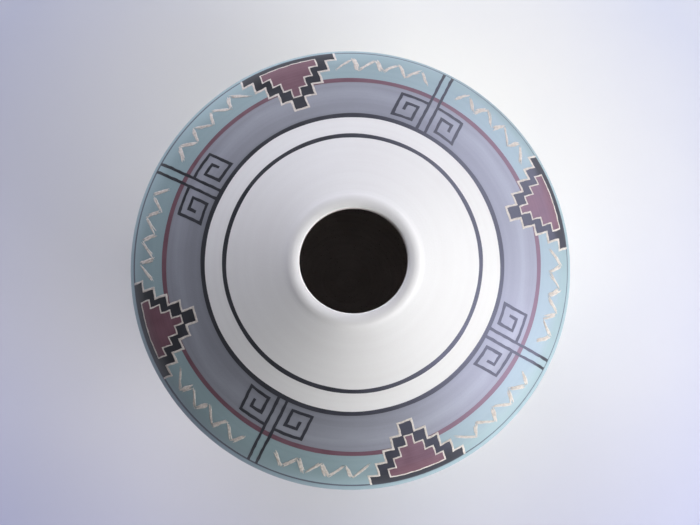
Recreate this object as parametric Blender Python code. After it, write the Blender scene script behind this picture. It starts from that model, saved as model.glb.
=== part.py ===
"""A squat pottery vase with a wide rounded shoulder and a small rolled mouth.

The clay is raised in eight courses that sit one on another: a base slab, the lower wall,
the middle wall, the belly wall, the shoulder edge, the shoulder wall, the collar and the lip
coil. Each carries a tongue on its inner half, and the next one laps over it, with a film of
slip between.
Metres, +Z up. The origin is the centre of the face that the vase stands on.
"""

import math

import bmesh
import bpy
from mathutils import Vector

# Overall sizes
HEIGHT = 0.115
BELLY_RADIUS = 0.095
BELLY_HEIGHT = 0.078
FOOT_RADIUS = 0.046
MOUTH_RADIUS = 0.0222
WALL = 0.005
FLOOR = 0.006

# Curves of the outline
FOOT_ROUND = 0.0025
BELLY_ROUND = 0.062
SHOULDER_ROUND = 0.014
NECK_SWEEP = 0.016
NECK_SWEEP_TURN = math.radians(9)

# Lip: a soft crown that dips inwards to a tighter edge, over a short upright throat
LIP_CROWN = 0.0052
LIP_DIP = math.radians(26)
LIP_EDGE = 0.0007
THROAT = 0.0036
UNDER_LIP = 0.0015

# Foot ring that the vase stands on, round a shallow recess
FOOT_RING_WIDTH = 0.009
FOOT_RECESS = 0.0015
RECESS_SLOPE = 0.002

# Widths of the courses, measured along the outside of the wall
BASE_RIM = 0.008
LOWER_WALL = 0.040
MIDDLE_WALL = 0.023
SHOULDER_EDGE = 0.0239
SHOULDER_WALL = 0.0179
LIP_COIL = 0.020

# Seams between the courses
TONGUE = 0.003
SLIP_FILM = 0.0003

# Fineness of the turned shapes
TURN_STEPS = 60
ARC_STEP = math.radians(10)
SMALL_ARC_STEP = math.radians(15)
SMOOTH_ANGLE = math.radians(32)
WELD = 1e-6

# Colours of the fired clay and of its slip coats, and how rough each is
WHITE_SLIP = ((0.80, 0.77, 0.79), 0.58)
GREY_SLIP = ((0.23, 0.24, 0.27), 0.50)
TURQUOISE_SLIP = ((0.25, 0.34, 0.37), 0.50)
BARE_CLAY = ((0.61, 0.56, 0.53), 0.82)


class Line:
    """A straight run of the outline, from start to end."""

    def __init__(self, start, end):
        self.start = start
        self.along = (end - start).normalized()
        self.length = (end - start).length
        self.spacing = self.length

    def at(self, distance, depth):
        """The point this far along the run and this deep under the outer face."""
        outward = Vector((self.along.y, -self.along.x))
        return self.start + distance * self.along - depth * outward


class Arc:
    """A round run of the outline. It swells outwards, or is hollow where it turns back."""

    def __init__(self, centre, radius, first, last, step=ARC_STEP):
        self.centre = centre
        self.radius = radius
        self.first = first
        self.turn = 1 if last > first else -1
        self.length = radius * abs(last - first)
        self.spacing = self.length / math.ceil(abs(last - first) / step)

    def at(self, distance, depth):
        """The point this far along the run and this deep under the outer face."""
        angle = self.first + self.turn * distance / self.radius
        return self.centre + (self.radius - self.turn * depth) * polar(angle)


class Outline:
    """Named runs joined end to end, from the foot ring up the outside and over the lip."""

    def __init__(self, runs):
        self.runs = runs
        self.starts = {}
        self.length = 0.0
        for name, run in runs.items():
            self.starts[name] = self.length
            self.length += run.length

    def at(self, distance, depth=0.0):
        """The point this far up the outline and this deep under the outer face."""
        name = max((start, name) for name, start in self.starts.items() if start <= distance)[1]
        return self.runs[name].at(distance - self.starts[name], depth)

    def between(self, low, high, depth=0.0):
        """Points from low to high, with as many on each run as its shape needs."""
        marks = []
        for name, run in self.runs.items():
            count = round(run.length / run.spacing)
            marks += [self.starts[name] + i * run.spacing for i in range(count)]
        inside = [mark for mark in marks if low + WELD < mark < high - WELD]
        return [self.at(mark, depth) for mark in [low, *inside, high]]


def polar(angle):
    """The unit vector at this angle, in the plane of radius and height."""
    return Vector((math.cos(angle), math.sin(angle)))


def foot_runs(belly_centre):
    """The flat foot ring, its rounded edge, the straight taper and the arc of the belly."""
    corner = Vector((FOOT_RADIUS, 0))
    to_corner = corner - belly_centre
    facing = math.atan2(to_corner.y, to_corner.x)
    meeting = facing + math.acos(BELLY_ROUND / to_corner.length)
    taper_end = belly_centre + BELLY_ROUND * polar(meeting)
    trim = FOOT_ROUND * math.tan((meeting + math.pi / 2) / 2)
    taper_start = corner + trim * (taper_end - corner).normalized()
    ring_start = Vector((FOOT_RADIUS - FOOT_RING_WIDTH, 0))
    ring_end = Vector((FOOT_RADIUS - trim, 0))
    round_centre = ring_end + Vector((0, FOOT_ROUND))
    return {
        "foot_ring": Line(ring_start, ring_end),
        "foot_round": Arc(round_centre, FOOT_ROUND, -math.pi / 2, meeting, SMALL_ARC_STEP),
        "taper": Line(taper_start, taper_end),
        "belly": Arc(belly_centre, BELLY_ROUND, meeting, 0),
    }


def top_slope(shoulder_centre, lip_centre):
    """Slope of the straight top, which touches the shoulder's arc and the neck's hollow arc."""
    across = shoulder_centre - lip_centre
    reach = (LIP_CROWN + NECK_SWEEP) * math.cos(NECK_SWEEP_TURN)
    offset = reach - SHOULDER_ROUND - NECK_SWEEP
    return math.asin(offset / across.length) - math.atan2(across.y, across.x)


def top_runs(shoulder_centre):
    """The arc of the shoulder, the straight top, the hollow neck, the lip and the throat."""
    dip_facing = math.pi / 2 + LIP_DIP
    to_edge = (LIP_CROWN - LIP_EDGE) * polar(dip_facing)
    lip_centre = Vector((MOUTH_RADIUS + LIP_EDGE - to_edge.x, HEIGHT - LIP_CROWN))
    edge_centre = lip_centre + to_edge
    throat_start = edge_centre - Vector((LIP_EDGE, 0))
    throat_end = throat_start - Vector((0, THROAT))
    under_centre = throat_end + Vector((UNDER_LIP, 0))
    top_facing = math.pi / 2 - top_slope(shoulder_centre, lip_centre)
    neck_facing = top_facing - NECK_SWEEP_TURN
    neck_centre = lip_centre + (LIP_CROWN + NECK_SWEEP) * polar(neck_facing)
    top_start = shoulder_centre + SHOULDER_ROUND * polar(top_facing)
    top_end = neck_centre - NECK_SWEEP * polar(top_facing)
    return {
        "shoulder": Arc(shoulder_centre, SHOULDER_ROUND, 0, top_facing),
        "top": Line(top_start, top_end),
        "neck": Arc(neck_centre, NECK_SWEEP, math.pi + top_facing, math.pi + neck_facing),
        "lip": Arc(lip_centre, LIP_CROWN, neck_facing, dip_facing, SMALL_ARC_STEP),
        "lip_edge": Arc(edge_centre, LIP_EDGE, dip_facing, math.pi, SMALL_ARC_STEP),
        "throat": Line(throat_start, throat_end),
        "under_lip": Arc(under_centre, UNDER_LIP, math.pi, 1.5 * math.pi, SMALL_ARC_STEP),
    }


def vase_outline():
    """The whole outside of the vase. The two arcs at its widest circle meet upright."""
    belly_centre = Vector((BELLY_RADIUS - BELLY_ROUND, BELLY_HEIGHT))
    shoulder_centre = Vector((BELLY_RADIUS - SHOULDER_ROUND, BELLY_HEIGHT))
    return Outline({**foot_runs(belly_centre), **top_runs(shoulder_centre)})


def tongue_end(outline, seam):
    """Top of a course: its outer half stops at the seam, its inner half runs on as a tongue."""
    outer = seam - SLIP_FILM / 2
    return outline.between(outer, outer + TONGUE, WALL / 2 + SLIP_FILM / 2)


def lapped_end(outline, seam):
    """Foot of a course: its outer half laps down over the tongue of the course below."""
    outer = seam + SLIP_FILM / 2
    return outline.between(outer, outer + TONGUE, WALL / 2 - SLIP_FILM / 2)[::-1]


def wall_profile(outline, low, high):
    """Closed cross-section of a wall between the seam it stands on and the seam it carries."""
    film = SLIP_FILM / 2
    outside = outline.between(low + film, high - film)
    inside = outline.between(low + TONGUE + film, high + TONGUE - film, WALL)
    return outside + tongue_end(outline, high) + inside[::-1] + lapped_end(outline, low)


def base_profile(outline, seam):
    """Cross-section of the base slab, from its recess round the foot to the floor inside."""
    taper_start = outline.starts["taper"]
    climb = FLOOR - outline.at(taper_start, WALL).y
    floor_edge = taper_start + climb / outline.runs["taper"].along.y
    under = [Vector((0, FOOT_RECESS)), outline.at(0) + Vector((-RECESS_SLOPE, FOOT_RECESS))]
    outside = outline.between(0, seam - SLIP_FILM / 2)
    inside = outline.between(floor_edge, seam + TONGUE - SLIP_FILM / 2, WALL)
    floor_centre = Vector((0, FLOOR))
    return under + outside + tongue_end(outline, seam) + inside[::-1] + [floor_centre]


def lip_profile(outline, seam):
    """Cross-section of the lip: the end of the top, the neck, the crown and the throat."""
    outside = outline.between(seam + SLIP_FILM / 2, outline.length)
    inner_corner = outline.at(seam + TONGUE + SLIP_FILM / 2, WALL)
    return outside + [inner_corner] + lapped_end(outline, seam)


def coat_material(name, coat):
    """A matt fired surface of this colour and roughness."""
    colour, roughness = coat
    material = bpy.data.materials.new(name)
    material.use_nodes = True
    shader = material.node_tree.nodes["Principled BSDF"]
    shader.inputs["Base Color"].default_value = (*colour, 1)
    shader.inputs["Roughness"].default_value = roughness
    shader.inputs["Metallic"].default_value = 0
    return material


def turned_course(name, profile, material, closed=True):
    """A solid of revolution about the vase's axis, from a cross-section in radius and height."""
    build = bmesh.new()
    corners = [build.verts.new((point.x, 0, point.y)) for point in profile]
    pairs = list(zip(corners, corners[1:]))
    if closed:
        pairs.append((corners[-1], corners[0]))
    edges = [build.edges.new(pair) for pair in pairs]
    bmesh.ops.spin(
        build,
        geom=corners + edges,
        cent=(0, 0, 0),
        axis=(0, 0, 1),
        angle=2 * math.pi,
        steps=TURN_STEPS,
        use_merge=True,
    )
    bmesh.ops.remove_doubles(build, verts=build.verts, dist=WELD)
    bmesh.ops.recalc_face_normals(build, faces=build.faces)
    mesh = bpy.data.meshes.new(name)
    build.to_mesh(mesh)
    build.free()
    mesh.shade_smooth()
    mesh.set_sharp_from_angle(angle=SMOOTH_ANGLE)
    mesh.materials.append(material)
    bpy.context.scene.collection.objects.link(bpy.data.objects.new(name, mesh))


def build_vase():
    """Turns the eight courses and stands them on one another."""
    for old in list(bpy.data.objects):
        bpy.data.objects.remove(old)
    white = coat_material("white_slip", WHITE_SLIP)
    grey = coat_material("grey_slip", GREY_SLIP)
    turquoise = coat_material("turquoise_slip", TURQUOISE_SLIP)
    clay = coat_material("bare_clay", BARE_CLAY)

    outline = vase_outline()
    base_seam = outline.starts["taper"] + BASE_RIM
    lower_seam = base_seam + LOWER_WALL
    middle_seam = lower_seam + MIDDLE_WALL
    belly_seam = outline.starts["shoulder"]
    edge_seam = belly_seam + SHOULDER_EDGE
    wall_seam = edge_seam + SHOULDER_WALL
    lip_seam = outline.starts["throat"] - LIP_COIL

    turned_course("base_slab", base_profile(outline, base_seam), clay, closed=False)
    turned_course("lower_wall", wall_profile(outline, base_seam, lower_seam), turquoise)
    turned_course("middle_wall", wall_profile(outline, lower_seam, middle_seam), turquoise)
    turned_course("belly_wall", wall_profile(outline, middle_seam, belly_seam), turquoise)
    turned_course("shoulder_edge", wall_profile(outline, belly_seam, edge_seam), turquoise)
    turned_course("shoulder_wall", wall_profile(outline, edge_seam, wall_seam), grey)
    turned_course("collar", wall_profile(outline, wall_seam, lip_seam), white)
    turned_course("lip_coil", lip_profile(outline, lip_seam), white)


build_vase()
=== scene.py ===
import math

import bmesh
import bpy
import numpy as np
from mathutils import Matrix, Vector


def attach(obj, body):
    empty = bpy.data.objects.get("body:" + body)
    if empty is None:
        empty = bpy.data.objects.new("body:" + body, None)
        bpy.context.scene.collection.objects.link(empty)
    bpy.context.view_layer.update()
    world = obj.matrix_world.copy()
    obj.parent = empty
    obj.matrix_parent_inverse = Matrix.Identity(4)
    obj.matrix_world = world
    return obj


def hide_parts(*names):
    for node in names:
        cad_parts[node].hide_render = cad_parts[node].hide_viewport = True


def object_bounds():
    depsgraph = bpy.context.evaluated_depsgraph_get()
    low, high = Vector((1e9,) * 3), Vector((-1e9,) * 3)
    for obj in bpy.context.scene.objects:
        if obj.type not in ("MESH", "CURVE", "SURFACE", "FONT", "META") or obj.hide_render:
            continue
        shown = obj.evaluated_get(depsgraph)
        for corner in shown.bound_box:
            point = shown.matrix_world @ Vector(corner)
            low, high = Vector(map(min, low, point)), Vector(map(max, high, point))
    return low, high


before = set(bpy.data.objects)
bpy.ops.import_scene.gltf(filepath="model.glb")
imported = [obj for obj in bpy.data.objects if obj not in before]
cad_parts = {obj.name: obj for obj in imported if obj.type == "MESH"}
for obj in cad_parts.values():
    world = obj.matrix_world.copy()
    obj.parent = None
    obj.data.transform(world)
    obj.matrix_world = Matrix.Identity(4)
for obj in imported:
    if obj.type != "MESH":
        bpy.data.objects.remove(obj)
cad_low, cad_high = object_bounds()


# Base slab
# A thick disc of buff clay with a flat foot ring trimmed round a shallow recess. It is left bare,
# because slip on the foot would stick to the kiln shelf, and the wall is luted to its rim.
HEIGHT = cad_high.z
BELLY_RADIUS = cad_high.x
BELLY_HEIGHT = 0.078
FOOT_RADIUS = 0.046
MOUTH_RADIUS = 0.0222
WALL = 0.005
FLOOR = 0.006
FOOT_ROUND = 0.0025
BELLY_ROUND = 0.062
SHOULDER_ROUND = 0.014
NECK_SWEEP = 0.016
NECK_TURN = math.radians(9)
LIP_CROWN = 0.0052
LIP_DIP = math.radians(26)
LIP_EDGE = 0.0007
THROAT = 0.0036
UNDER_LIP = 0.0015
FOOT_RING_WIDTH = 0.009
FOOT_RECESS = 0.0015
RECESS_SLOPE = 0.002
BASE_RIM = 0.008
SLIP_LAP = 0.002
SLIP_THICKNESS = 0.00015
TURN_COLUMNS = 320
ROW_STEP = 0.0011
FOOT_ROW_STEP = 0.0004
RECESS_ROW_STEP = 0.0005
AXIS_GAP = 0.0003
TRIM_PITCH = 0.0022
TRIM_DEPTH = 0.00012
OUT_OF_ROUND = 0.0025
LOBE_DRIFT = 9.0
MOUTH_LEVEL = 0.1
MOUTH_REACH = 0.034
MOUTH_OVAL = 0.0003
MOUTH_OVAL_TURN = math.radians(7)
MOUTH_PINCH = 0.0002
SHARP_EDGE = math.radians(40)
CLAY_DEEP = (0.54, 0.488, 0.464, 1)
CLAY_PALE = (0.68, 0.626, 0.602, 1)
CLAY_GRIT = (0.22, 0.17, 0.14, 1)
CLAY_ROUGHNESS = (0.74, 0.92)
CLAY_PATCHES = 90
CLAY_LINES = 700
CLAY_SPECKS = 1500
CLAY_TOOTH = 2600
CLAY_RELIEF = 0.00018
SPECK_RANGE = (0.68, 0.76)
SPECK_SHARE = 0.8
NOISE_RANGE = (0.3, 0.7)
LINE_RANGE = (0.35, 0.65)
LINE_WANDER = 0.0012
WANDER_LUMPS = 18
PATCH_SHARE = 0.6


def polar(angle):
    """The unit vector at this angle, in a plane of two axes: (cos a, sin a)."""
    return np.array([math.cos(angle), math.sin(angle)])


def vase_runs():
    """Length and bend (turn per metre) of each run of the outside, from the foot ring to the lip.

    The taper touches the belly's arc, and the straight top touches the shoulder's arc and the
    hollow arc of the neck, which in turn touches the crown of the lip. The crown dips inwards to a
    tighter edge, and under that the throat drops straight.
    """
    belly_centre = np.array([BELLY_RADIUS - BELLY_ROUND, BELLY_HEIGHT])
    to_corner = np.array([FOOT_RADIUS, 0]) - belly_centre
    corner_reach = math.hypot(*to_corner)
    meeting = math.atan2(to_corner[1], to_corner[0]) + math.acos(BELLY_ROUND / corner_reach)
    trim = FOOT_ROUND * math.tan((meeting + math.pi / 2) / 2)
    taper = math.sqrt(corner_reach**2 - BELLY_ROUND**2) - trim

    shoulder_centre = np.array([BELLY_RADIUS - SHOULDER_ROUND, BELLY_HEIGHT])
    dip_facing = math.pi / 2 + LIP_DIP
    crest_radius = MOUTH_RADIUS + LIP_EDGE - (LIP_CROWN - LIP_EDGE) * math.cos(dip_facing)
    lip_centre = np.array([crest_radius, HEIGHT - LIP_CROWN])
    across = shoulder_centre - lip_centre
    offset = (LIP_CROWN + NECK_SWEEP) * math.cos(NECK_TURN) - SHOULDER_ROUND - NECK_SWEEP
    slope = math.asin(offset / math.hypot(*across)) - math.atan2(across[1], across[0])
    top_facing = math.pi / 2 - slope
    neck_facing = top_facing - NECK_TURN
    neck_centre = lip_centre + (LIP_CROWN + NECK_SWEEP) * polar(neck_facing)
    top = (neck_centre - shoulder_centre) @ polar(top_facing + math.pi / 2)
    return {
        "foot_ring": (FOOT_RING_WIDTH - trim, 0),
        "foot_round": (FOOT_ROUND * (meeting + math.pi / 2), 1 / FOOT_ROUND),
        "taper": (taper, 0),
        "belly": (-meeting * BELLY_ROUND, 1 / BELLY_ROUND),
        "shoulder": (SHOULDER_ROUND * top_facing, 1 / SHOULDER_ROUND),
        "top": (top, 0),
        "neck": (NECK_SWEEP * NECK_TURN, -1 / NECK_SWEEP),
        "lip": (LIP_CROWN * (dip_facing - neck_facing), 1 / LIP_CROWN),
        "lip_edge": (LIP_EDGE * (math.pi - dip_facing), 1 / LIP_EDGE),
        "throat": (THROAT, 0),
        "under_lip": (UNDER_LIP * math.pi / 2, 1 / UNDER_LIP),
    }


RUNS = vase_runs()
RUN_ENDS = np.cumsum([length for length, bend in RUNS.values()])
RUN_STARTS = dict(zip(RUNS, np.concatenate([[0], RUN_ENDS])))


def outline(distance):
    """Radius, height and facing of the outside, at each distance up it from the foot ring.

    A run of length s and bend b turns the facing by b s and moves the point by the chord
    s sinc(b s / 2), at right angles to the facing halfway along.
    """
    radius = np.full_like(distance, FOOT_RADIUS - FOOT_RING_WIDTH)
    height = np.zeros_like(distance)
    facing = np.full_like(distance, -math.pi / 2)
    for name, (length, bend) in RUNS.items():
        part = np.clip(distance - RUN_STARTS[name], 0, length)
        half = bend * part / 2
        chord = part * np.sinc(half / math.pi)
        radius = radius - chord * np.sin(facing + half)
        height = height + chord * np.cos(facing + half)
        facing = facing + 2 * half
    return radius, height, facing


def wall(distance, depth):
    """Radius and height of the point this far up the outside and this deep under it."""
    radius, height, facing = outline(np.asarray(distance, float))
    return radius - depth * np.cos(facing), height - depth * np.sin(facing)


def steps(low, high, step=ROW_STEP):
    """Evenly spaced distances from low to high, about one step apart."""
    return np.linspace(low, high, max(2, math.ceil(abs(high - low) / step) + 1))


def hand_built(angle, radius, height):
    """Points at these places, moved by a hair as a pot turned by hand is out of round.

    The whole point shrinks by a share between 0 and OUT_OF_ROUND, in two, three and five lobes, of
    which the first two drift round with the height, so every layer at one place shrinks alike.
    Towards the mouth the radius also gains MOUTH_OVAL cos 2a and loses MOUTH_PINCH.
    """
    nearness = np.clip((MOUTH_REACH - radius) / (MOUTH_REACH - MOUTH_RADIUS), 0, 1)
    oval = MOUTH_OVAL * np.cos(2 * (angle - MOUTH_OVAL_TURN)) - MOUTH_PINCH
    radius = radius + nearness * oval * (height > MOUTH_LEVEL)
    drift = LOBE_DRIFT * height
    lobes = (np.sin(2 * angle + drift) + 0.6 * np.sin(3 * angle - 2 * drift)
             + 0.4 * np.sin(5 * angle + 1))
    share = 1 - OUT_OF_ROUND * (0.5 + lobes / 4)
    return np.stack([radius * np.cos(angle), radius * np.sin(angle), height], -1) * share[..., None]


def quads(corners):
    """The four corners of each cell of a grid of point numbers."""
    cells = [corners[:-1, :-1], corners[1:, :-1], corners[1:, 1:], corners[:-1, 1:]]
    return np.stack(cells, -1).reshape(-1, 4)


def piece(name, points, faces):
    """A named mesh object at the origin, with its faces turned outwards and shaded smooth."""
    mesh = bpy.data.meshes.new(name)
    mesh.from_pydata(points.reshape(-1, 3).tolist(), [], faces)
    build = bmesh.new()
    build.from_mesh(mesh)
    bmesh.ops.recalc_face_normals(build, faces=build.faces)
    build.to_mesh(mesh)
    build.free()
    mesh.shade_smooth()
    mesh.set_sharp_from_angle(angle=SHARP_EDGE)
    made = bpy.data.objects.new(name, mesh)
    bpy.context.scene.collection.objects.link(made)
    return made


def turned(name, radius, height, capped=False):
    """A profile carried round the axis: (radius cos a, radius sin a, height), for a full turn of a.

    The last profile point joins the first, or, when capped, both ends lie by the axis and are
    filled there.
    """
    angle = np.linspace(0, 2 * math.pi, TURN_COLUMNS, endpoint=False)[:, None]
    angle, radius, height = np.broadcast_arrays(angle, radius, height)
    corners = np.arange(angle.size).reshape(angle.shape)
    ends = []
    if capped:
        ends = [corners[:, 0].tolist(), corners[:, -1].tolist()]
    else:
        corners = np.hstack([corners, corners[:, :1]])
    corners = np.vstack([corners, corners[:1]])
    return piece(name, hand_built(angle, radius, height), quads(corners).tolist() + ends)


def wire(tree, kind, sockets, **settings):
    """A new shader node, with each socket set to a value or linked to another node's output."""
    node = tree.nodes.new("ShaderNode" + kind)
    for name, value in settings.items():
        setattr(node, name, value)
    for key, value in sockets.items():
        if isinstance(value, bpy.types.NodeSocket):
            tree.links.new(value, node.inputs[key])
        else:
            node.inputs[key].default_value = value
    return node


def blend(tree, share, first, second):
    """The colour between first and second at this share."""
    return wire(tree, "Mix", {0: share, 6: first, 7: second}, data_type="RGBA").outputs[2]


def remap(tree, value, low, high, new_low, new_high):
    """The value moved evenly from the range low to high to the new range, and held inside it."""
    sockets = {0: value, 1: low, 2: high, 3: new_low, 4: new_high}
    return wire(tree, "MapRange", sockets).outputs[0]


def grain(tree, place, scale, detail=3.0):
    """Cloudy noise with about this many lumps in a metre."""
    sockets = {"Vector": place, "Scale": scale, "Detail": detail}
    return wire(tree, "TexNoise", sockets).outputs["Fac"]


def sums(tree, *values):
    """Values added together."""
    total = values[0]
    for value in values[1:]:
        total = wire(tree, "Math", {0: total, 1: value}, operation="ADD").outputs[0]
    return total


def fresh_material(name):
    """A new material: its node tree, its shader and the place on the piece in metres."""
    material = bpy.data.materials.new(name)
    material.use_nodes = True
    tree = material.node_tree
    place = wire(tree, "TexCoord", {}).outputs["Object"]
    return material, tree, tree.nodes["Principled BSDF"], place


def bump(tree, shader, height, depth, strength):
    """Roughens the shader's surface by a height pattern of this depth in metres."""
    sockets = {"Height": height, "Distance": depth, "Strength": strength}
    tree.links.new(wire(tree, "Bump", sockets).outputs[0], shader.inputs["Normal"])


def axis_distance(tree, place):
    """How far each point lies from the vase's axis."""
    level = wire(tree, "VectorMath", {0: place, 1: (1, 1, 0)}, operation="MULTIPLY").outputs[0]
    return wire(tree, "VectorMath", {0: level}, operation="LENGTH").outputs["Value"]


def turning_marks(tree, place, scale):
    """Noise drawn out round the axis: it depends on radius and height, which a broad noise bends."""
    wander = remap(tree, grain(tree, place, WANDER_LUMPS, detail=1), 0, 1, -LINE_WANDER, LINE_WANDER)
    radius = sums(tree, axis_distance(tree, place), wander)
    height = sums(tree, wire(tree, "SeparateXYZ", {0: place}).outputs["Z"], wander)
    spot = wire(tree, "CombineXYZ", {"X": radius, "Z": height}).outputs[0]
    return grain(tree, spot, scale, detail=4)


def patchy(tree, patches, lines, deep, pale):
    """A tone between deep and pale: PATCH_SHARE of it follows the patches, the rest the lines."""
    by_patches = remap(tree, patches, *NOISE_RANGE, 0, PATCH_SHARE)
    by_lines = remap(tree, lines, *LINE_RANGE, 0, 1 - PATCH_SHARE)
    return blend(tree, sums(tree, by_patches, by_lines), deep, pale)


def bare_clay():
    """Fired clay: pale and deep patches, dark grit, and the lines that a trimming tool leaves."""
    material, tree, shader, place = fresh_material("bare_clay")
    patches = grain(tree, place, CLAY_PATCHES, detail=5)
    lines = turning_marks(tree, place, CLAY_LINES)
    body = patchy(tree, patches, lines, CLAY_DEEP, CLAY_PALE)
    specks = remap(tree, grain(tree, place, CLAY_SPECKS, detail=1), *SPECK_RANGE, 0, SPECK_SHARE)
    tree.links.new(blend(tree, specks, body, CLAY_GRIT), shader.inputs["Base Color"])
    tree.links.new(remap(tree, patches, *NOISE_RANGE, *CLAY_ROUGHNESS), shader.inputs["Roughness"])
    bump(tree, shader, sums(tree, lines, grain(tree, place, CLAY_TOOTH)), CLAY_RELIEF, strength=0.6)
    return material


def base_slab():
    """The slab's section turned round the axis, with rings left by the trimming tool in the recess."""
    taper_start = RUN_STARTS["taper"]
    taper_facing = outline(np.array(taper_start))[2]
    floor_edge = taper_start + (FLOOR - wall(taper_start, WALL)[1]) / math.cos(taper_facing)
    rim = taper_start + BASE_RIM + SLIP_LAP

    recess_radius = steps(AXIS_GAP, FOOT_RADIUS - FOOT_RING_WIDTH - RECESS_SLOPE, RECESS_ROW_STEP)
    trimming = TRIM_DEPTH * np.sin(2 * math.pi * recess_radius / TRIM_PITCH)
    ring_end = RUN_STARTS["foot_round"]
    outer = np.concatenate([steps(0, ring_end), steps(ring_end, rim, FOOT_ROW_STEP)[1:]])
    bare = np.interp(outer, [ring_end, taper_start], [0, SLIP_THICKNESS])
    outer_radius, outer_height = wall(outer, bare)
    inner_radius, inner_height = wall(steps(rim, floor_edge), WALL)
    floor_radius = steps(inner_radius[-1], AXIS_GAP)[1:]
    floor_height = np.full_like(floor_radius, FLOOR)
    radius = np.concatenate([recess_radius, outer_radius, inner_radius, floor_radius])
    height = np.concatenate([FOOT_RECESS + trimming, outer_height, inner_height, floor_height])
    return turned("base_slab_clay", radius, height, capped=True)


base = base_slab()
base.data.materials.append(bare_clay())
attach(base, "root")
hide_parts("base_slab")


# Turquoise body
# The wall of clay from the base out to the widest circle and over the shoulder. Two coats of pale
# turquoise slip are brushed on while the pot turns, down to an uneven edge just above the foot.
SHOULDER_EDGE = 0.0239
TURQUOISE_DEEP = (0.224, 0.313, 0.333, 1)
TURQUOISE_PALE = (0.278, 0.375, 0.397, 1)
SATIN_ROUGHNESS = 0.50
ROUGHNESS_SPREAD = 0.07
SATIN_SHINE = 0.95
SLIP_MOTTLE = 24
SLIP_LINES = 420
SLIP_TOOTH = 1800
SLIP_SHARES = (0.55, 0.30, 0.15)
SLIP_RELIEF = 0.00006
EDGE_WAVE = 0.0009


def brushed_finish(tree, shader, mottle, lines, tooth, roughness, shine):
    """A finish rubbed to this roughness and shine, uneven with the mottling, in brushed relief."""
    low, high = (2 * end for end in NOISE_RANGE)
    spread = (roughness - ROUGHNESS_SPREAD, roughness + ROUGHNESS_SPREAD)
    uneven = remap(tree, sums(tree, mottle, tooth), low, high, *spread)
    tree.links.new(uneven, shader.inputs["Roughness"])
    shader.inputs["Specular IOR Level"].default_value = shine
    bump(tree, shader, sums(tree, lines, tooth), SLIP_RELIEF, strength=0.5)


def slip_coat(name, deep, pale, roughness, shine):
    """Brushed slip: its tone follows mottling, brush lines round the pot and a fine tooth."""
    material, tree, shader, place = fresh_material(name)
    mottle = grain(tree, place, SLIP_MOTTLE, detail=5)
    lines = turning_marks(tree, place, SLIP_LINES)
    tooth = grain(tree, place, SLIP_TOOTH, detail=2)
    by_mottle, by_lines, by_tooth = SLIP_SHARES
    share = sums(tree, remap(tree, mottle, *NOISE_RANGE, 0, by_mottle),
                 remap(tree, lines, *LINE_RANGE, 0, by_lines),
                 remap(tree, tooth, *NOISE_RANGE, 0, by_tooth))
    tree.links.new(blend(tree, share, deep, pale), shader.inputs["Base Color"])
    brushed_finish(tree, shader, mottle, lines, tooth, roughness, shine)
    return material


def slip_edge(low):
    """Where the brushed slip stops: a distance up the outside, waving by four sines round the pot."""
    angle = np.linspace(0, 2 * math.pi, TURN_COLUMNS, endpoint=False)[:, None]
    wave = np.sin(7 * angle) + np.sin(13 * angle + 2) + np.sin(23 * angle + 4) + np.sin(37 * angle + 1)
    return low + EDGE_WAVE * wave / 4


def body_wall():
    """A loop up the outside from the slip's edge and down the inside, turned round the axis."""
    low = RUN_STARTS["taper"] + BASE_RIM
    high = RUN_STARTS["shoulder"] + SHOULDER_EDGE
    rise = np.linspace(0, 1, math.ceil((high - low) / ROW_STEP))
    outer = slip_edge(low) * (1 - rise) + high * rise
    inner = np.concatenate([steps(high, low + SLIP_LAP), [low + SLIP_LAP]])
    inner_depth = np.full_like(inner, WALL)
    inner_depth[-1] = SLIP_THICKNESS
    columns = np.ones((TURN_COLUMNS, 1))
    distance = np.hstack([outer, columns * inner, slip_edge(low)])
    depth = np.concatenate([np.zeros_like(rise), inner_depth, [SLIP_THICKNESS]])
    return turned("turquoise_body", *wall(distance, depth))


body = body_wall()
body.data.materials.append(slip_coat("turquoise_slip", TURQUOISE_DEEP, TURQUOISE_PALE,
                                     SATIN_ROUGHNESS, SATIN_SHINE))
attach(body, "root")
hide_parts("lower_wall", "middle_wall", "belly_wall", "shoulder_edge")


# Grey band
# The next course of the wall, in a bluish-grey slip. Across the band it runs in soft rings round
# the pot: deepest at its inner edge, palest about three fifths of the way out, and deeper again
# towards the maroon stripe.
SHOULDER_WALL = 0.0179
GREY_INNER = 0.063
GREY_OUTER = 0.0795
GREY_DEEP = (0.172, 0.178, 0.202, 1)
GREY_PALE = (0.303, 0.314, 0.360, 1)
GREY_RINGS = ((0.0, 0.12), (0.35, 0.44), (0.62, 0.80), (0.80, 0.42), (1.0, 0.36))
GREY_MOTTLE = 30
RING_WANDER = 0.12
GREY_LINE_SHARE = 0.14
GREY_TOOTH_SHARE = 0.05


def band_wall(name, low, high):
    """A loop up the outside from low to high and back down the inside, turned round the axis."""
    outer = steps(low, high)
    distance = np.concatenate([outer, outer[::-1]])
    depth = np.concatenate([np.zeros_like(outer), np.full_like(outer, WALL)])
    return turned(name, *wall(distance, depth))


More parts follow.
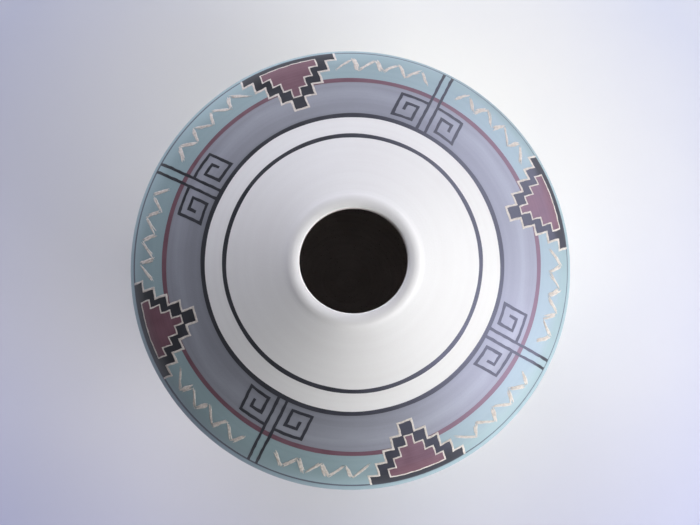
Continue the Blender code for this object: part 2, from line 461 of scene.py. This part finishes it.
def grey_slip():
    """Slip in soft rings, with brush lines over them.

    The share of pale grey goes straight from point to point of GREY_RINGS, where each point is a
    place across the band, counted from its inner edge, and the share there.
    """
    material, tree, shader, place = fresh_material("grey_slip")
    mottle = grain(tree, place, GREY_MOTTLE, detail=5)
    lines = turning_marks(tree, place, SLIP_LINES)
    tooth = grain(tree, place, SLIP_TOOTH, detail=2)
    across = remap(tree, axis_distance(tree, place), GREY_INNER, GREY_OUTER, 0, 1)
    bent = sums(tree, across, remap(tree, mottle, *NOISE_RANGE, -RING_WANDER, RING_WANDER))
    rings = wire(tree, "ValToRGB", {0: bent})
    for spot, share in GREY_RINGS[1:-1]:
        rings.color_ramp.elements.new(spot)
    for element, (spot, share) in zip(rings.color_ramp.elements, GREY_RINGS):
        element.position = spot
        element.color = (share, share, share, 1)
    share = sums(tree, rings.outputs[0],
                 remap(tree, lines, *NOISE_RANGE, -GREY_LINE_SHARE, GREY_LINE_SHARE),
                 remap(tree, tooth, *NOISE_RANGE, -GREY_TOOTH_SHARE, GREY_TOOTH_SHARE))
    tree.links.new(blend(tree, share, GREY_DEEP, GREY_PALE), shader.inputs["Base Color"])
    brushed_finish(tree, shader, mottle, lines, tooth, SATIN_ROUGHNESS, SATIN_SHINE)
    return material


edge_seam = RUN_STARTS["shoulder"] + SHOULDER_EDGE
wall_seam = edge_seam + SHOULDER_WALL
grey_band = band_wall("grey_band", edge_seam, wall_seam)
grey_band.data.materials.append(grey_slip())
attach(grey_band, "root")
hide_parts("shoulder_wall")


# White top
# The shallow cone round the mouth, with the last coil of clay smoothed into a soft lip. It has an
# even coat of matt white slip, which is brushed over the lip and a little way down the throat.
LIP_COIL = 0.020
TONGUE = 0.003
LIP_ROW_STEP = 0.0003
WHITE_DEEP = (0.765, 0.748, 0.745, 1)
WHITE_PALE = (0.825, 0.818, 0.814, 1)
MATT_ROUGHNESS = 0.58
MATT_SHINE = 0.1


def white_top_wall():
    """A loop up the cone, over the lip and back down the inside, turned round the axis."""
    cone = steps(wall_seam, RUN_STARTS["neck"])
    lip = steps(RUN_STARTS["neck"], RUN_ENDS[-1], LIP_ROW_STEP)[1:]
    inner = steps(RUN_STARTS["throat"] - LIP_COIL + TONGUE, wall_seam)
    distance = np.concatenate([cone, lip, inner])
    depth = np.concatenate([np.zeros_like(cone), np.zeros_like(lip), np.full_like(inner, WALL)])
    return turned("white_top", *wall(distance, depth))


white_top = white_top_wall()
white_top.data.materials.append(slip_coat("white_slip", WHITE_DEEP, WHITE_PALE,
                                          MATT_ROUGHNESS, MATT_SHINE))
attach(white_top, "root")
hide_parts("collar", "lip_coil")


# Bare inside
# The slip is brushed on the outside only, so from the throat down the inner wall and over the floor
# the buff clay shows as it was smoothed with wet fingers while the pot was raised.
SLIP_INSIDE = 0.0012
INSIDE_RISE = 0.00012
INSIDE_ROOT = 0.0002
FINGER_PITCH = 0.0085
FINGER_DEPTH = 0.0004
INSIDE_ROW_STEP = 0.0018


def inside_path(rise):
    """Radius and height from the throat to the axis, this far off the clay into the hollow."""
    throat = steps(RUN_STARTS["throat"] + SLIP_INSIDE, RUN_ENDS[-1], LIP_ROW_STEP)
    climb = steps(RUN_STARTS["throat"] - LIP_COIL + TONGUE, RUN_STARTS["taper"], INSIDE_ROW_STEP)
    fingers = FINGER_DEPTH * (1 - np.cos(2 * math.pi * (climb - climb[0]) / FINGER_PITCH)) / 2
    lip_radius, lip_height = wall(throat, -rise)
    wall_radius, wall_height = wall(climb, WALL + rise + fingers)
    above_floor = wall_height > FLOOR + rise
    floor_radius = steps(wall_radius[above_floor][-1], AXIS_GAP, INSIDE_ROW_STEP)
    floor_height = np.full_like(floor_radius, FLOOR + rise)
    radius = np.concatenate([lip_radius, wall_radius[above_floor], floor_radius])
    height = np.concatenate([lip_height, wall_height[above_floor], floor_height])
    return radius, height


face_radius, face_height = inside_path(INSIDE_RISE)
root_radius, root_height = inside_path(-INSIDE_ROOT)
inside_profile = (np.concatenate([face_radius[::-1], root_radius]),
                  np.concatenate([face_height[::-1], root_height]))
inside = turned("bare_inside", *inside_profile, capped=True)
inside.data.materials.append(base.data.materials[0])
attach(inside, "root")


# Ring lines
# Fine lines of coloured slip, drawn with a loaded brush held still while the pot turns: two black
# rings on the white, a maroon stripe where grey meets turquoise, and a dark hairline near the
# widest circle.
PAINT_RISE = 0.00002
PAINT_ROOT = 0.0002
LINE_ACROSS = np.array([-1, -0.9, -0.5, 0, 0.5, 0.9, 1])
BLACK_DEEP = (0.010, 0.011, 0.015, 1)
BLACK_PALE = (0.026, 0.027, 0.034, 1)
MAROON_DEEP = (0.116, 0.046, 0.063, 1)
MAROON_PALE = (0.172, 0.078, 0.102, 1)
INNER_RING = 0.05324
INNER_RING_WIDTH = 0.0019
OUTER_RING = 0.0625
OUTER_RING_WIDTH = 0.0020
MAROON_STRIPE = 0.07915
MAROON_STRIPE_WIDTH = 0.0020
EDGE_HAIRLINE = 0.09264
HAIRLINE_WIDTH = 0.00104
# The hairline is broader on the shaded side and finer on the lit side: partly a thinner brush line,
# partly painted light for the sheen that washes it out there.
HAIRLINE_SHADE_SWING = 0.38
HAIRLINE_SHADED_SIDE = math.radians(200)
HAIRLINE_DEEP = (0.045, 0.055, 0.072, 1)
HAIRLINE_PALE = (0.085, 0.100, 0.122, 1)
BLACK_ROUGHNESS = 0.48
PAINT_SPREAD = 0.06
PAINT_SHINE = 0.82
PAINT_PATCHES = 160
PAINT_STREAKS = 1600
PAINT_TOOTH = 2200
PAINT_RELIEF = 0.00005
CLIMB_STEP = 0.0001


def paint(name, deep, pale, roughness):
    """Painted slip: brush streaks round the pot, thin and thick patches, and a soft shine."""
    material, tree, shader, place = fresh_material(name)
    patches = grain(tree, place, PAINT_PATCHES, detail=4)
    streaks = turning_marks(tree, place, PAINT_STREAKS)
    tree.links.new(patchy(tree, patches, streaks, deep, pale), shader.inputs["Base Color"])
    spread = (roughness - PAINT_SPREAD, roughness + PAINT_SPREAD)
    tree.links.new(remap(tree, patches, *NOISE_RANGE, *spread), shader.inputs["Roughness"])
    shader.inputs["Specular IOR Level"].default_value = PAINT_SHINE
    bump(tree, shader, sums(tree, streaks, grain(tree, place, PAINT_TOOTH)), PAINT_RELIEF, strength=0.5)
    return material


def at_radius(radius):
    """Distance up the outside at which the top of the vase has this radius."""
    climb = steps(RUN_STARTS["shoulder"], RUN_STARTS["lip"], CLIMB_STEP)
    return np.interp(-radius, -outline(climb)[0], climb)


def ring_line(name, radius, width, material, swing=0.0):
    """A low rounded ridge of paint round the pot, its rise falling as 1 - x^4 to both edges.

    Its place and its width drift with the hand, each by two sines round the pot. A swing makes it
    broader by that share on the shaded side, at HAIRLINE_SHADED_SIDE, and as much finer on the lit
    side. That is partly a thinner brush line and partly painted light: the finer line stands in for
    the sheen that washes a fine dark line out on the lit side.
    """
    angle = np.linspace(0, 2 * math.pi, TURN_COLUMNS, endpoint=False)[:, None]
    drift = width * (0.05 * np.sin(3 * angle + 500 * radius) + 0.04 * np.sin(8 * angle + 900 * radius))
    breadth = width / 2 * (1 + 0.06 * np.sin(5 * angle + 700 * radius) + 0.04 * np.sin(17 * angle))
    breadth = breadth * (1 + swing * np.cos(angle - HAIRLINE_SHADED_SIDE))
    across = np.concatenate([LINE_ACROSS, LINE_ACROSS[::-1]])
    rise = PAINT_RISE * (1 - LINE_ACROSS**4)
    depth = np.concatenate([-rise, np.full_like(rise, PAINT_ROOT)])
    ring = turned(name, *wall(at_radius(radius) + drift + breadth * across, depth))
    ring.data.materials.append(material)
    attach(ring, "root")
    return ring


black_paint = paint("black_paint", BLACK_DEEP, BLACK_PALE, BLACK_ROUGHNESS)
maroon_paint = paint("maroon_paint", MAROON_DEEP, MAROON_PALE, SATIN_ROUGHNESS)
hairline_paint = paint("hairline_paint", HAIRLINE_DEEP, HAIRLINE_PALE, SATIN_ROUGHNESS)
ring_line("inner_black_ring", INNER_RING, INNER_RING_WIDTH, black_paint)
ring_line("outer_black_ring", OUTER_RING, OUTER_RING_WIDTH, black_paint)
ring_line("maroon_stripe", MAROON_STRIPE, MAROON_STRIPE_WIDTH, maroon_paint)
ring_line("edge_hairline", EDGE_HAIRLINE, HAIRLINE_WIDTH, hairline_paint, HAIRLINE_SHADE_SWING)


# Painted figures
# A plain repeating frieze round the shoulder, four times the same: a black stepped terrace with a
# maroon heart, and between the terraces a pair of black bars that carry square hooks. Places and
# widths of the figures are in millimetres on the surface.
MM = 0.001
REPEATS = 4
FRIEZE_START = math.radians(18)
FIGURE_RISE = 0.00004
HEART_RISE = 1.5 * FIGURE_RISE
HOOK_RISE = 1.3 * FIGURE_RISE
HAND_SEED = 11
HAND_STRAY = 0.12
BREADTH_WAVER = 0.16
WAVER_LENGTHS = np.array([31.0, 11.0, 4.3])
STROKE_STEP = 0.7
PATCH_STEP = 1.0
TERRACE_FOOT = 34.0
TERRACE_HALF = 21.0
TERRACE_TIERS = 5
TIER_HEIGHT = 5.4
TIER_STEP = 4.5
HEART_FOOT = 30.6
HEART_HALF = 12.2
HEART_TIERS = 4
HEART_HEIGHT = 4.3
HEART_STEP = 3.5
BAR_SIDE = 1.9
BAR_HEAD = 0.4
BAR_WIDTH = 1.25
HOOK = ((2.2, 14.6), (14.2, 14.6), (14.2, 3.6), (5.6, 3.6), (5.6, 10.8), (10.6, 10.8), (10.6, 7.2))
HOOK_WIDTH = 1.3
hand = np.random.default_rng(HAND_SEED)


def waver(along, size):
    """How far a hand strays along a line: sines of three lengths with drawn phases."""
    phases = hand.uniform(0, 2 * math.pi, WAVER_LENGTHS.size)
    return size * np.sin(2 * math.pi * along[:, None] / WAVER_LENGTHS + phases).mean(-1)


def stroke(corners, width, across=(-1, 1), stray=HAND_STRAY, ends=1.0, step=STROKE_STEP):
    """A ribbon along a line of corners, as a grid of sideways and outward places.

    At a corner its sides meet on the mitre (m + n) / (1 + m.n), where m and n are the normals of
    the two legs. Between corners it runs straight, strays a little, and narrows to ends at its tips.
    """
    corners = np.array(corners, float)
    legs = np.diff(corners, axis=0)
    lengths = np.hypot(*legs.T)
    normals = np.stack([-legs[:, 1], legs[:, 0]], -1) / lengths[:, None]
    before = np.vstack([normals[:1], normals])
    after = np.vstack([normals, normals[-1:]])
    mitres = (before + after) / (1 + (before * after).sum(-1, keepdims=True))
    marks = np.concatenate([[0], np.cumsum(lengths)])
    parts = [steps(low, high, step)[:-1] for low, high in zip(marks, marks[1:])]
    along = np.concatenate([*parts, marks[-1:]])
    centre = np.stack([np.interp(along, marks, corners[:, axis]) for axis in (0, 1)], -1)
    side = np.stack([np.interp(along, marks, mitres[:, axis]) for axis in (0, 1)], -1)
    to_end = np.minimum(along, marks[-1] - along)
    tip = np.clip(to_end / (2 * width), ends, 1)
    breadth = width / 2 * tip * (1 + waver(along, BREADTH_WAVER))
    offset = waver(along, stray)[:, None] + breadth[:, None] * np.array(across)
    grid = centre[:, None] + offset[..., None] * side[:, None]
    return grid[..., 0], grid[..., 1]


def patch(low_left, low_right, high_left, high_right):
    """A four-cornered field: straight lines between two straight edges, as a grid of places."""
    edges = np.array([low_left, low_right, high_left, high_right], float)
    wide = max(math.dist(low_left, low_right), math.dist(high_left, high_right))
    tall = max(math.dist(low_left, high_left), math.dist(low_right, high_right))
    u = np.linspace(0, 1, math.ceil(wide / PATCH_STEP) + 1)[None, :, None]
    v = np.linspace(0, 1, math.ceil(tall / PATCH_STEP) + 1)[:, None, None]
    low = edges[0] * (1 - u) + edges[1] * u
    high = edges[2] * (1 - u) + edges[3] * u
    grid = low * (1 - v) + high * v
    return grid[..., 0], grid[..., 1]


def slab_faces(shape, first):
    """Faces of a thin closed slab: a grid on top, the same grid under it and walls round the rim."""
    top = first + np.arange(shape[0] * shape[1]).reshape(shape)
    rim = np.concatenate([top[0, :-1], top[:-1, -1], top[-1, :0:-1], top[:0:-1, 0]])
    under = rim + top.size
    walls = np.stack([rim, under, np.roll(under, -1), np.roll(rim, -1)], -1)
    return np.vstack([quads(top), quads(top + top.size)[:, ::-1], walls])


def draped(name, sheets, material):
    """Thin slabs laid on the shoulder. Each sheet is a turn round the axis, a grid and its rise.

    Outward places run along the surface from the outer black ring, and a sideways place is an arc
    of the circle that the point lies on.
    """
    points = []
    faces = []
    first = 0
    for start, (sideways, outward), rise in sheets:
        distance = at_radius(OUTER_RING) - outward * MM
        angle = start + sideways * MM / outline(distance)[0]
        for depth in (-rise, PAINT_ROOT):
            points.append(hand_built(angle, *wall(distance, depth)).reshape(-1, 3))
        faces += slab_faces(sideways.shape, first).tolist()
        first += 2 * sideways.size
    made = piece(name, np.concatenate(points), faces)
    made.data.materials.append(material)
    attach(made, "root")
    return made


def mirrored(corners):
    """The same corners on the other side of the figure's middle."""
    return [(-sideways, outward) for sideways, outward in corners]


def terrace(foot, half, tiers, height, step):
    """Fields of a stepped pyramid that rises towards the mouth, one for each tier."""
    fields = []
    for tier in range(tiers):
        side = half - tier * step
        low = foot - tier * height
        fields.append(patch((-side, low), (side, low), (-side, low - height), (side, low - height)))
    return fields


black_sheets = []
maroon_sheets = []
for turn in range(REPEATS):
    terrace_place = FRIEZE_START + turn * 2 * math.pi / REPEATS
    bar_place = terrace_place + math.pi / REPEATS
    for field in terrace(TERRACE_FOOT, TERRACE_HALF, TERRACE_TIERS, TIER_HEIGHT, TIER_STEP):
        black_sheets.append((terrace_place, field, FIGURE_RISE))
    for field in terrace(HEART_FOOT, HEART_HALF, HEART_TIERS, HEART_HEIGHT, HEART_STEP):
        maroon_sheets.append((terrace_place, field, HEART_RISE))
    for side in (-BAR_SIDE, BAR_SIDE):
        bar = stroke([(side, BAR_HEAD), (side, TERRACE_FOOT)], BAR_WIDTH)
        black_sheets.append((bar_place, bar, FIGURE_RISE))
    for hook in (HOOK, mirrored(HOOK)):
        black_sheets.append((bar_place, stroke(hook, HOOK_WIDTH), HOOK_RISE))

draped("black_figures", black_sheets, black_paint)
draped("maroon_figures", maroon_sheets, maroon_paint)


# Etched lines
# Lines scratched through the slip with a pointed tool once it has dried, down to the cream clay.
# The point throws up a fine burr on both sides, and the zigzags are gone over in many scratches.
ETCHED = np.array([-1, -0.6, 0, 0.6, 1])
ETCH_RISE = np.array([0.00003, 0.00009, 0.00008, 0.00009, 0.00003])
SCRATCH_WIDTH = (0.30, 0.85)
SCRATCHES = 7
SCRATCH_STRAY = 0.75
SCRATCH_GAP = 0.22
SCRATCH_STEP = 1.7
SCRATCH_TIP = 0.15
SCRATCH_WAVER = 0.3
CREAM_DEEP = (0.50, 0.44, 0.39, 1)
CREAM_PALE = (0.70, 0.645, 0.59, 1)
DRAG_MARKS = 900
DRAG_RANGE = (0.3, 0.65)
ETCH_ROUGHNESS = (0.78, 0.95)
ETCH_RELIEF = 0.0002
EDGE_STRAY = 0.2
EDGE_WIDTH = 0.9
HEART_EDGE_WIDTH = 0.7
HEART_OVERLAP = 0.5
ZIGZAG_FIRST = 6.5
ZIGZAG_LAST = 47.0
ZIGZAG_TURNS = 9
ZIGZAG_MIDDLE = 26.0
ZIGZAG_HALF = 3.2


def etched_clay():
    """Scratched clay: cream with deeper drag marks, quite matt and rough."""
    material, tree, shader, place = fresh_material("etched_clay")
    drag = grain(tree, place, DRAG_MARKS, detail=4)
    cream = blend(tree, remap(tree, drag, *DRAG_RANGE, 0, 1), CREAM_DEEP, CREAM_PALE)
    tree.links.new(cream, shader.inputs["Base Color"])
    tree.links.new(remap(tree, drag, *NOISE_RANGE, *ETCH_ROUGHNESS), shader.inputs["Roughness"])
    bump(tree, shader, drag, ETCH_RELIEF, strength=0.7)
    return material


def terrace_edge(foot, half, tiers, height, step):
    """Corners of the stepped outline, up one side of a terrace and down the other."""
    side = []
    for tier in range(tiers):
        low = foot - tier * height
        side += [(half - tier * step, low), (half - tier * step, low - height)]
    return mirrored(side) + side[::-1]


def zigzag(side):
    """Scratches along a zigzag between the bars and the next terrace, on this side of the bars.

    Each leg is gone over SCRATCHES times. A scratch strays a little at both ends, leaves off up to
    a share SCRATCH_GAP of the leg there, and runs out to fine tips.
    """
    sideways = side * np.linspace(ZIGZAG_FIRST, ZIGZAG_LAST, ZIGZAG_TURNS)
    outward = ZIGZAG_MIDDLE + ZIGZAG_HALF * np.where(np.arange(ZIGZAG_TURNS) % 2, 1, -1)
    corners = np.stack([sideways, outward], -1)
    scratches = []
    for first, last in zip(corners, corners[1:]):
        for again in range(SCRATCHES):
            shares = hand.uniform(0, SCRATCH_GAP, 2) * (1, -1) + (0, 1)
            ends = first + shares[:, None] * (last - first)
            line = ends + hand.uniform(-SCRATCH_STRAY, SCRATCH_STRAY, (2, 2))
            width = hand.uniform(*SCRATCH_WIDTH)
            scratches.append(stroke(line, width, ETCHED, SCRATCH_WAVER, SCRATCH_TIP, SCRATCH_STEP))
    return scratches


etched_sheets = []
for turn in range(REPEATS):
    terrace_place = FRIEZE_START + turn * 2 * math.pi / REPEATS
    bar_place = terrace_place + math.pi / REPEATS
    outer = terrace_edge(TERRACE_FOOT, TERRACE_HALF, TERRACE_TIERS, TIER_HEIGHT, TIER_STEP)
    heart = terrace_edge(HEART_FOOT, HEART_HALF, HEART_TIERS, HEART_HEIGHT, HEART_STEP)
    heart = [(HEART_OVERLAP, HEART_FOOT), *heart, (-HEART_OVERLAP, HEART_FOOT)]
    for edge, width in ((outer, EDGE_WIDTH), (heart, HEART_EDGE_WIDTH)):
        etched_sheets.append((terrace_place, stroke(edge, width, ETCHED, EDGE_STRAY), ETCH_RISE))
    for side in (-1, 1):
        etched_sheets += [(bar_place, scratch, ETCH_RISE) for scratch in zigzag(side)]

draped("etched_lines", etched_sheets, etched_clay())


# Paper floor
# A wide sheet of pale paper under the vase, which takes its soft shadow. It also carries painted
# light and shade: it is painted whitest round the vase, greyer and bluer farther out, darker and
# bluer towards the front and lighter and warmer towards the back, and it fades into a pale backdrop.
FLOOR_HALF = 3.0
# Painted light and shade: a lit white near the vase and a grey-blue shade farther out.
PAPER_LIT_NEAR = (0.868, 0.838, 0.812, 1)
PAPER_SHADED_FAR = (0.593, 0.608, 0.762, 1)
PAPER_SHADE_FALL = (0.10, 0.215)
# Painted light and shade: the front is tinted darker and bluer, the back lighter and warmer.
PAPER_LIGHT_LEAN = math.radians(78)
PAPER_LIGHT_LEAN_REACH = (-0.16, 0.16)
PAPER_SHADED_FRONT = (0.925, 0.927, 1.045, 1)
PAPER_LIT_BACK = (1.07, 1.07, 0.985, 1)
PAPER_ROUGHNESS = 0.85
PAPER_CLOUDS = 12
CLOUD_SHARE = 0.06
PAPER_TOOTH = 1500
PAPER_RELIEF = 0.00005
BACKDROP = (0.70, 0.71, 0.76, 1)
BACKDROP_FALL = (0.21, 0.40)


def seen_rays(tree):
    """1 on rays that show a thing straight, mirrored or through glass, 0 on those that light others."""
    rays = wire(tree, "LightPath", {}).outputs
    return sums(tree, rays["Is Camera Ray"], rays["Is Glossy Ray"], rays["Is Transmission Ray"])


def where_seen(tree, share):
    """This share on the rays that seen_rays picks, and 0 on the others."""
    sockets = {0: share, 1: seen_rays(tree)}
    return wire(tree, "Math", sockets, operation="MULTIPLY", use_clamp=True).outputs[0]


def reach_along(tree, place, heading):
    """How far each point lies along a level heading: x cos h + y sin h."""
    sockets = {0: place, 1: (*polar(heading), 0)}
    return wire(tree, "VectorMath", sockets, operation="DOT_PRODUCT").outputs["Value"]


def paper():
    """Paper with painted light and shade: its tone falls with the radius from a painted pool of light
    near the vase to painted grey-blue shade farther out, times a tint that paints the back lighter
    and warmer and the front darker and bluer.

    It has faint clouds and a fine tooth, and farther out it gives way to the backdrop.
    """
    material, tree, shader, place = fresh_material("paper")
    distance = axis_distance(tree, place)
    clouds = grain(tree, place, PAPER_CLOUDS, detail=4)
    # Painted shade: the tone turns grey-blue with the distance from the vase.
    painted_falloff = sums(tree, remap(tree, distance, *PAPER_SHADE_FALL, 0, 1),
                remap(tree, clouds, *NOISE_RANGE, -CLOUD_SHARE, CLOUD_SHARE))
    # Painted light and shade: lighter and warmer towards the back, darker and bluer towards the front.
    light_lean = remap(tree, reach_along(tree, place, PAPER_LIGHT_LEAN), *PAPER_LIGHT_LEAN_REACH, 0, 1)
    shaded_tone = blend(tree, painted_falloff, PAPER_LIT_NEAR, PAPER_SHADED_FAR)
    light_tint = blend(tree, light_lean, PAPER_SHADED_FRONT, PAPER_LIT_BACK)
    lit_and_shaded = wire(tree, "Mix", {0: 1.0, 6: shaded_tone, 7: light_tint}, data_type="RGBA", blend_type="MULTIPLY")
    tree.links.new(lit_and_shaded.outputs[2], shader.inputs["Base Color"])
    shader.inputs["Roughness"].default_value = PAPER_ROUGHNESS
    bump(tree, shader, grain(tree, place, PAPER_TOOTH), PAPER_RELIEF, strength=0.3)
    share = where_seen(tree, remap(tree, distance, *BACKDROP_FALL, 0, 1))
    glow = wire(tree, "Emission", {"Color": BACKDROP}).outputs[0]
    mixed = wire(tree, "MixShader", {0: share, 1: shader.outputs[0], 2: glow}).outputs[0]
    tree.links.new(mixed, tree.nodes["Material Output"].inputs["Surface"])
    return material


floor_corners = np.array([[-1, -1, 0], [1, -1, 0], [1, 1, 0], [-1, 1, 0]]) * FLOOR_HALF
floor = piece("floor", floor_corners, [[0, 1, 2, 3]])
floor.data.materials.append(paper())


# Light
# Soft daylight: a broad window low on the right, a weaker one at the back left, a small lift from
# the back right, and a pale horizon, brighter on that side, under a dim sky. Two bluish panels
# higher up only show as a sheen on the satin slip.
WINDOW_SIZE = 0.6
WINDOW_REACH = 0.9
HORIZON = (0.96, 0.97, 1.0, 1)
HORIZON_STRENGTH = (0.30, 0.62)
HORIZON_BRIGHT = math.radians(30)
SKY_STRENGTH = 0.10
HORIZON_RISE = (0.10, 0.45)
BACKDROP_RISE = (0.18, 0.30)

# Name, azimuth and elevation in degrees, power in watts, colour, and whether it is only a sheen
WINDOWS = (
    ("right_window", 323, 18, 12.0, (0.98, 0.987, 0.98), False),
    ("left_window", 113, 23, 5.9, (0.975, 0.99, 1.13), False),
    ("far_window", 50, 24, 3.4, (1.0, 1.0, 1.0), False),
    ("right_sheen", 340, 47, 7.2, (0.85, 0.86, 1.25), True),
    ("far_sheen", 41, 35, 5.0, (0.84, 0.86, 1.20), True),
)

for name, azimuth, elevation, power, colour, only_sheen in WINDOWS:
    lamp_data = bpy.data.lights.new(name, "AREA")
    lamp_data.size = WINDOW_SIZE
    lamp_data.energy = power
    lamp_data.color = colour
    lamp = bpy.data.objects.new(name, lamp_data)
    level, rise = WINDOW_REACH * polar(math.radians(elevation))
    lamp.location = (*(level * polar(math.radians(azimuth))), rise)
    lamp.rotation_euler = (-lamp.location).to_track_quat("-Z", "Y").to_euler()
    lamp.visible_camera = False
    lamp.visible_glossy = only_sheen
    lamp.visible_diffuse = not only_sheen
    bpy.context.scene.collection.objects.link(lamp)

world = bpy.data.worlds.new("studio")
world.use_nodes = True
sky_tree = world.node_tree
direction = wire(sky_tree, "TexCoord", {}).outputs["Generated"]
rise = wire(sky_tree, "SeparateXYZ", {0: direction}).outputs["Z"]
toward = reach_along(sky_tree, direction, HORIZON_BRIGHT)
horizon = remap(sky_tree, toward, -1, 1, *HORIZON_STRENGTH)
strength = remap(sky_tree, rise, *HORIZON_RISE, horizon, SKY_STRENGTH)
sky = sky_tree.nodes["Background"]
sky.inputs["Color"].default_value = HORIZON
sky_tree.links.new(strength, sky.inputs["Strength"])
share = where_seen(sky_tree, remap(sky_tree, rise, *BACKDROP_RISE, 1, 0))
backdrop = wire(sky_tree, "Background", {"Color": BACKDROP}).outputs[0]
mixed = wire(sky_tree, "MixShader", {0: share, 1: sky.outputs[0], 2: backdrop}).outputs[0]
sky_tree.links.new(mixed, sky_tree.nodes["World Output"].inputs["Surface"])
bpy.context.scene.world = world


# Camera
# It looks almost straight down on the mouth, from a little to the left and the front of the axis,
# with the front at the bottom of the picture.
CAMERA_PLACE = Vector((-0.01787, -0.05257, 0.68047))
CAMERA_FORWARD = Vector((0.02865, 0.09069, -0.99547)).normalized()
LENS = 72
SENSOR = 36

camera_data = bpy.data.cameras.new("camera")
camera_data.lens = LENS
camera_data.sensor_width = SENSOR
camera = bpy.data.objects.new("camera", camera_data)
right = CAMERA_FORWARD.cross(Vector((0, 1, 0))).normalized()
up = right.cross(CAMERA_FORWARD)
turn_to_view = Matrix((right, up, -CAMERA_FORWARD)).transposed().to_4x4()
camera.matrix_world = Matrix.Translation(CAMERA_PLACE) @ turn_to_view
bpy.context.scene.collection.objects.link(camera)
bpy.context.scene.camera = camera
bpy.context.scene.view_settings.view_transform = "Standard"
